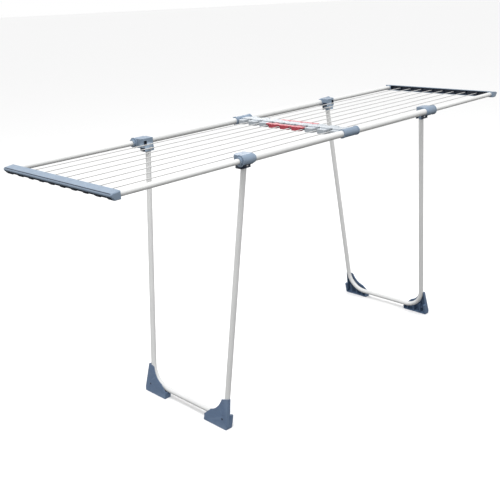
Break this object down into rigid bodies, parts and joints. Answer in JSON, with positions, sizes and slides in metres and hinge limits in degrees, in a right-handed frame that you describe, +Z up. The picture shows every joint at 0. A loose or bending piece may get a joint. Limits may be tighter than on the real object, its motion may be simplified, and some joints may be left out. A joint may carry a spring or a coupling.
{
  "type": "telescopic clothes drying rack",
  "caption": "Free-standing clothes airer: two wings of parallel wires slide out of a middle frame on two folding U-shaped tube legs with moulded feet.",
  "frame": {"origin": "on the floor under the centre of the rack", "axes": "+X along the rails towards the right wing, +Y across the rails towards the far rail, +Z up"},
  "size_m": [2.082, 0.5716, 0.9488],
  "materials": {
    "white_tube": "satin powder coat",
    "white_wire": "powder coat on drawn wire",
    "blue_grey_plastic": "fine moulded grain",
    "dark_plastic": "moulded, scuffed at the floor",
    "light_plastic": "smooth moulded",
    "red_plastic": "smooth moulded",
    "nylon": "natural nylon",
    "zinc_steel": "zinc plated"
  },
  "bodies": {
    "frame": {"outer_rail_near_left": "white_tube", "outer_rail_near_right": "white_tube", "outer_rail_far_left": "white_tube", "outer_rail_far_right": "white_tube", "center_sleeve_near": "blue_grey_plastic", "center_sleeve_far": "blue_grey_plastic", "crossbar_base": "light_plastic", "crossbar_cover": "light_plastic", "crossbar_screws": "zinc_steel", "hub_base_near_left": "blue_grey_plastic", "hub_base_near_right": "blue_grey_plastic", "hub_base_far_left": "blue_grey_plastic", "hub_base_far_right": "blue_grey_plastic", "hub_cap_near_left": "blue_grey_plastic", "hub_cap_near_right": "blue_grey_plastic", "hub_cap_far_left": "blue_grey_plastic", "hub_cap_far_right": "blue_grey_plastic", "guide_bush_near_left": "nylon", "guide_bush_near_right": "nylon", "guide_bush_far_left": "nylon", "guide_bush_far_right": "nylon", "pivot_pins_left": "zinc_steel", "pivot_pins_right": "zinc_steel", "lever_springs_left": "zinc_steel", "lever_springs_right": "zinc_steel"},
    "left_wing": {"inner_rail_near_left": "white_tube", "inner_rail_far_left": "white_tube", "rail_plugs_left": "nylon", "end_bar_left": "blue_grey_plastic", "end_caps_left": "blue_grey_plastic", "wires_left": "white_wire", "wire_stops_left": "zinc_steel"},
    "right_wing": {"inner_rail_near_right": "white_tube", "inner_rail_far_right": "white_tube", "rail_plugs_right": "nylon", "end_bar_right": "blue_grey_plastic", "end_caps_right": "blue_grey_plastic", "wires_right": "white_wire", "wire_stops_right": "zinc_steel"},
    "left_leg": {"leg_tube_near_left": "white_tube", "leg_tube_far_left": "white_tube", "leg_knuckles_left": "blue_grey_plastic", "leg_joiner_left": "nylon", "foot_near_left": "dark_plastic", "foot_far_left": "dark_plastic", "foot_screws_left": "zinc_steel"},
    "right_leg": {"leg_tube_near_right": "white_tube", "leg_tube_far_right": "white_tube", "leg_knuckles_right": "blue_grey_plastic", "leg_joiner_right": "nylon", "foot_near_right": "dark_plastic", "foot_far_right": "dark_plastic", "foot_screws_right": "zinc_steel"},
    "left_lever": {"release_lever_left": "red_plastic"},
    "right_lever": {"release_lever_right": "red_plastic"}
  },
  "joints": [
    {"name": "left_wing_slide", "type": "slide", "parent": "frame", "child": "left_wing", "axis": [1, 0, 0], "range_m": [0, 0.44]},
    {"name": "left_leg_fold", "type": "hinge", "parent": "frame", "child": "left_leg", "pos_m": [-0.503, 0, 0.909], "axis": [0, -1, 0], "range_deg": [0, 96.9]},
    {"name": "left_lever_squeeze", "type": "slide", "parent": "frame", "child": "left_lever", "axis": [1, 0, 0], "range_m": [0, 0.006], "stiffness_N_per_m": 400, "springref_m": -0.004, "deforming": ["lever_springs_left"]},
    {"name": "right_wing_slide", "type": "slide", "parent": "frame", "child": "right_wing", "axis": [-1, 0, 0], "range_m": [0, 0.44]},
    {"name": "right_leg_fold", "type": "hinge", "parent": "frame", "child": "right_leg", "pos_m": [0.503, 0, 0.909], "axis": [0, 1, 0], "range_deg": [0, 93.7]},
    {"name": "right_lever_squeeze", "type": "slide", "parent": "frame", "child": "right_lever", "axis": [-1, 0, 0], "range_m": [0, 0.006], "stiffness_N_per_m": 400, "springref_m": -0.004, "deforming": ["lever_springs_right"]}
  ]
}
